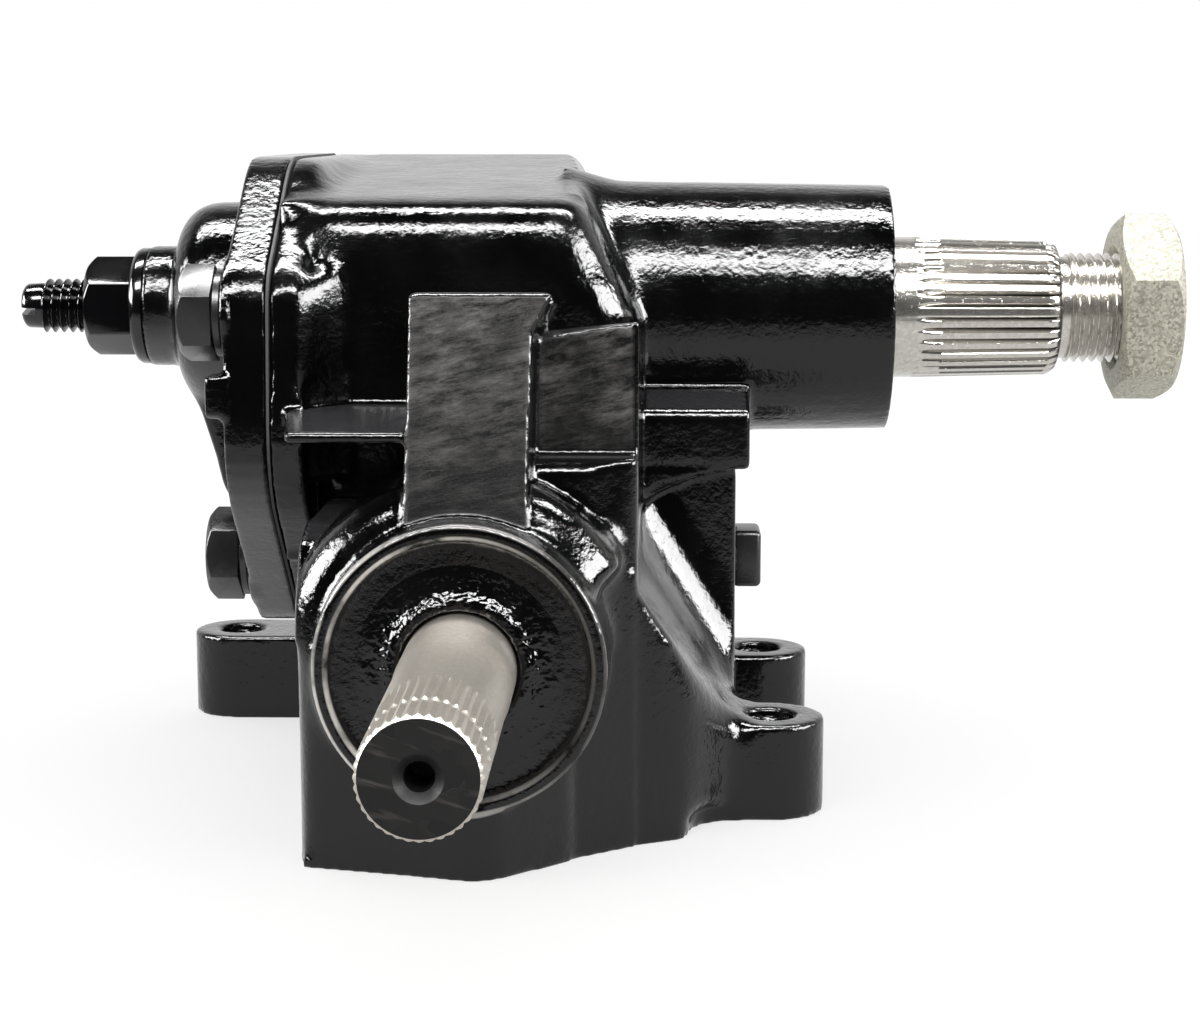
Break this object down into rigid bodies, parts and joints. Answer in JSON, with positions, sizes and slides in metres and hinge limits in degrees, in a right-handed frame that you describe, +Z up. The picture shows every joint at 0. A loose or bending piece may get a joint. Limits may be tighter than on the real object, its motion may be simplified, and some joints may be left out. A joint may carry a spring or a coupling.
{
  "type": "steering gearbox",
  "caption": "Manual recirculating-ball steering gear: black cast housing on tapped feet, bolted side cover with lash adjuster, serrated input shaft and splined pitman shaft with nut.",
  "frame": {"origin": "on the flat underside, below the crossing of the worm axis and the sector axis", "axes": "+X along the pitman shaft towards its nut, -Y along the input shaft towards its free end, +Z up from the mounting plane"},
  "size_m": [0.2336, 0.257, 0.1215],
  "materials": {
    "housing_paint": "gloss black paint on sand-cast iron",
    "cover_paint": "gloss black paint on sand-cast iron",
    "fastener_paint": "semi-gloss black paint on steel",
    "adjuster_paint": "black paint on threaded steel",
    "pitman_steel": "machined bright",
    "input_steel": "satin ground",
    "zinc_nut": "zinc plated",
    "inner_steel": "hardened and ground",
    "bronze": "machined",
    "seal_rubber": "moulded",
    "gasket_paper": "pressed fibre"
  },
  "bodies": {
    "housing": {"gear_housing": "housing_paint", "side_cover": "cover_paint", "side_cover_gasket": "gasket_paper", "cover_bolts": "fastener_paint", "cover_bolt_washers": "fastener_paint", "adjuster_locknut": "adjuster_paint", "cover_bushing": "bronze", "inner_pitman_bushing": "bronze", "outer_pitman_bushing": "bronze", "pitman_shaft_seal": "seal_rubber", "input_shaft_seal": "seal_rubber", "front_bearing_cup": "inner_steel", "rear_bearing_cup": "inner_steel", "bearing_adjuster_plug": "fastener_paint", "adjuster_plug_locknut": "fastener_paint", "filler_plug": "fastener_paint"},
    "pitman": {"sector_shaft": "pitman_steel", "pitman_nut": "zinc_nut"},
    "lash_adjuster": {"lash_adjuster_screw": "adjuster_paint", "lash_shim": "inner_steel"},
    "steering_input": {"input_shaft": "input_steel", "worm": "inner_steel", "front_bearing_cone": "inner_steel", "rear_bearing_cone": "inner_steel", "front_bearing_balls": "inner_steel", "rear_bearing_balls": "inner_steel", "front_bearing_cage": "bronze", "rear_bearing_cage": "bronze"},
    "ball_nut": {"ball_nut": "inner_steel", "front_circuit_balls": "inner_steel", "rear_circuit_balls": "inner_steel", "return_guides": "inner_steel", "guide_clamp": "inner_steel", "clamp_screws": "inner_steel"}
  },
  "joints": [
    {"name": "pitman_turn", "type": "hinge", "parent": "housing", "child": "pitman", "pos_m": [0, 0, 0.091], "axis": [1, 0, 0], "range_deg": [-38, 38]},
    {"name": "input_turn", "type": "hinge", "parent": "housing", "child": "steering_input", "pos_m": [0, 0, 0.0365], "axis": [0, 1, 0], "range_deg": [-610, 610]},
    {"name": "ball_nut_slide", "type": "slide", "parent": "housing", "child": "ball_nut", "axis": [0, 1, 0], "range_m": [-0.018, 0.018]},
    {"name": "lash_adjuster_turn", "type": "hinge", "parent": "housing", "child": "lash_adjuster", "pos_m": [0, 0, 0.091], "axis": [1, 0, 0], "range_deg": [-90, 90]}
  ],
  "couplings": [
    {"joint": "input_turn", "follows": "pitman_turn", "ratio": -16},
    {"joint": "ball_nut_slide", "follows": "pitman_turn", "m_per_rad": 0.027}
  ]
}
